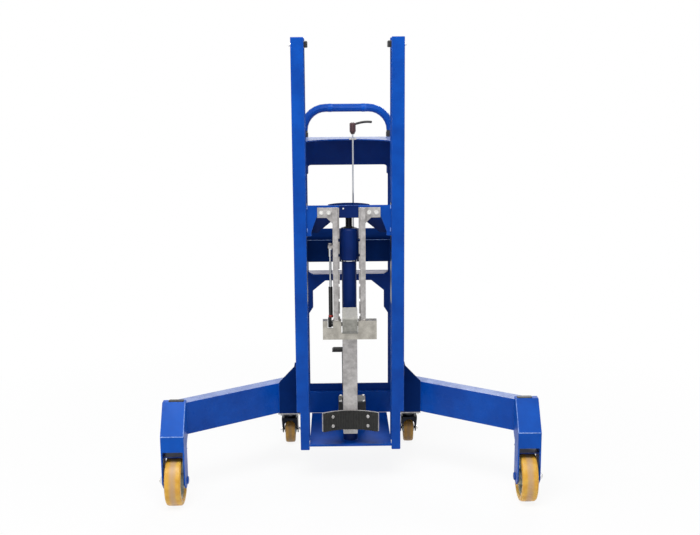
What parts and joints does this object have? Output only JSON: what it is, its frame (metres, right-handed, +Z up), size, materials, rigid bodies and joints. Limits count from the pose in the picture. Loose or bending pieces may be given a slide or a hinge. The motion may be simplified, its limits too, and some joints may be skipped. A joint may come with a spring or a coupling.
{
  "type": "drum lifter",
  "caption": "Manual drum lifter: wheeled base with splayed legs, twin-post mast, foot-pumped central ram and a beak gripper that takes a drum by its rim.",
  "frame": {"origin": "on the floor, under the middle of the machine's bounding box", "axes": "+Z up the mast, -Y towards the load, +X to the right as seen from the load's side"},
  "size_m": [1.5326, 0.912, 1.83],
  "materials": {
    "blue_paint": "gloss",
    "zinc": "satin",
    "steel": "satin",
    "chrome": "gloss",
    "black_steel": "satin",
    "black_plastic": "matte",
    "polyurethane": "satin",
    "cast_iron": "satin",
    "rubber": "matte"
  },
  "bodies": {
    "frame": {"base_beam": "blue_paint", "base_floor": "blue_paint", "base_side_left": "blue_paint", "base_side_right": "blue_paint", "leg_left": "blue_paint", "leg_right": "blue_paint", "wheel_fork_left": "blue_paint", "wheel_fork_right": "blue_paint", "front_axle_left": "zinc", "front_axle_right": "zinc", "castor_plate_left": "zinc", "castor_plate_right": "zinc", "mast_post_left": "blue_paint", "mast_post_right": "blue_paint", "post_stop_left": "black_steel", "post_stop_right": "black_steel", "rear_frame": "blue_paint", "console_deck": "blue_paint", "mid_shelf": "blue_paint", "push_handle": "blue_paint", "ram_cylinder": "blue_paint", "ram_gland": "blue_paint", "pump_body": "black_steel", "pressure_pipe": "steel", "rod_guide": "zinc"},
    "carriage": {"carriage_front_plate": "blue_paint", "carriage_rear_plate": "blue_paint", "carriage_side_bar_left": "black_steel", "carriage_side_bar_right": "black_steel", "lift_yoke": "blue_paint", "piston_rod": "chrome", "gripper_rail_left": "zinc", "gripper_rail_right": "zinc", "gripper_head": "steel", "strut_rod": "chrome", "rest_spine": "zinc", "rest_saddle": "zinc", "rest_pad": "rubber"},
    "roller_upper_left": {"mast_roller_upper_left": "steel"},
    "roller_lower_left": {"mast_roller_lower_left": "steel"},
    "roller_upper_right": {"mast_roller_upper_right": "steel"},
    "roller_lower_right": {"mast_roller_lower_right": "steel"},
    "jaw": {"beak_jaw": "zinc", "jaw_shaft": "steel"},
    "strut": {"strut_cylinder": "black_steel"},
    "front_wheel_left": {"front_tyre_left": "polyurethane", "front_wheel_core_left": "cast_iron"},
    "front_wheel_right": {"front_tyre_right": "polyurethane", "front_wheel_core_right": "cast_iron"},
    "castor_left": {"castor_fork_left": "black_steel"},
    "castor_right": {"castor_fork_right": "black_steel"},
    "castor_wheel_left": {"castor_tyre_left": "polyurethane", "castor_wheel_core_left": "cast_iron"},
    "castor_wheel_right": {"castor_tyre_right": "polyurethane", "castor_wheel_core_right": "cast_iron"},
    "release": {"release_rod": "chrome", "release_lever": "black_plastic"},
    "pedal": {"foot_pedal": "black_steel"}
  },
  "joints": [
    {"name": "lift", "type": "slide", "parent": "frame", "child": "carriage", "axis": [0, 0, 1], "range_m": [-0.04, 0.58]},
    {"name": "roller_upper_left_spin", "type": "hinge", "parent": "carriage", "child": "roller_upper_left", "pos_m": [-0.1973, -0.09, 1.115], "axis": [1, 0, 0], "range_deg": [-46, 660]},
    {"name": "roller_lower_left_spin", "type": "hinge", "parent": "carriage", "child": "roller_lower_left", "pos_m": [-0.1973, -0.09, 0.82], "axis": [1, 0, 0], "range_deg": [-46, 660]},
    {"name": "roller_upper_right_spin", "type": "hinge", "parent": "carriage", "child": "roller_upper_right", "pos_m": [0.1973, -0.09, 1.115], "axis": [1, 0, 0], "range_deg": [-46, 660]},
    {"name": "roller_lower_right_spin", "type": "hinge", "parent": "carriage", "child": "roller_lower_right", "pos_m": [0.1973, -0.09, 0.82], "axis": [1, 0, 0], "range_deg": [-46, 660]},
    {"name": "jaw_open", "type": "hinge", "parent": "carriage", "child": "jaw", "pos_m": [0, -0.148, 0.682], "axis": [-1, 0, 0], "range_deg": [0, 30], "stiffness_Nm_per_rad": 6, "springref_deg": -17.19},
    {"name": "strut_travel", "type": "slide", "parent": "carriage", "child": "strut", "axis": [0, 0, -1], "range_m": [0, 0.0175]},
    {"name": "front_wheel_left_spin", "type": "hinge", "parent": "frame", "child": "front_wheel_left", "pos_m": [-0.701, -0.356, 0.1], "axis": [1, 0, 0], "continuous": true},
    {"name": "front_wheel_right_spin", "type": "hinge", "parent": "frame", "child": "front_wheel_right", "pos_m": [0.701, -0.356, 0.1], "axis": [1, 0, 0], "continuous": true},
    {"name": "castor_left_swivel", "type": "hinge", "parent": "frame", "child": "castor_left", "pos_m": [-0.274, 0.296, 0.1647], "axis": [0, 0, 1], "continuous": true},
    {"name": "castor_right_swivel", "type": "hinge", "parent": "frame", "child": "castor_right", "pos_m": [0.274, 0.296, 0.1647], "axis": [0, 0, 1], "continuous": true},
    {"name": "castor_wheel_left_spin", "type": "hinge", "parent": "castor_left", "child": "castor_wheel_left", "pos_m": [-0.274, 0.334, 0.0625], "axis": [1, 0, 0], "continuous": true},
    {"name": "castor_wheel_right_spin", "type": "hinge", "parent": "castor_right", "child": "castor_wheel_right", "pos_m": [0.274, 0.334, 0.0625], "axis": [1, 0, 0], "continuous": true},
    {"name": "release_turn", "type": "hinge", "parent": "frame", "child": "release", "pos_m": [0.021, 0.075, 1.442], "axis": [0, 0, 1], "range_deg": [0, 60]},
    {"name": "pedal_stroke", "type": "hinge", "parent": "frame", "child": "pedal", "pos_m": [-0.027, 0.118, 0.335], "axis": [-1, 0, 0], "range_deg": [0, 20], "stiffness_Nm_per_rad": 14, "springref_deg": -28.65}
  ],
  "couplings": [
    {"joint": "roller_upper_left_spin", "follows": "lift", "rad_per_m": 19.7},
    {"joint": "roller_lower_left_spin", "follows": "lift", "rad_per_m": 19.7},
    {"joint": "roller_upper_right_spin", "follows": "lift", "rad_per_m": 19.7},
    {"joint": "roller_lower_right_spin", "follows": "lift", "rad_per_m": 19.7},
    {"joint": "strut_travel", "follows": "jaw_open", "m_per_rad": 0.0318}
  ]
}
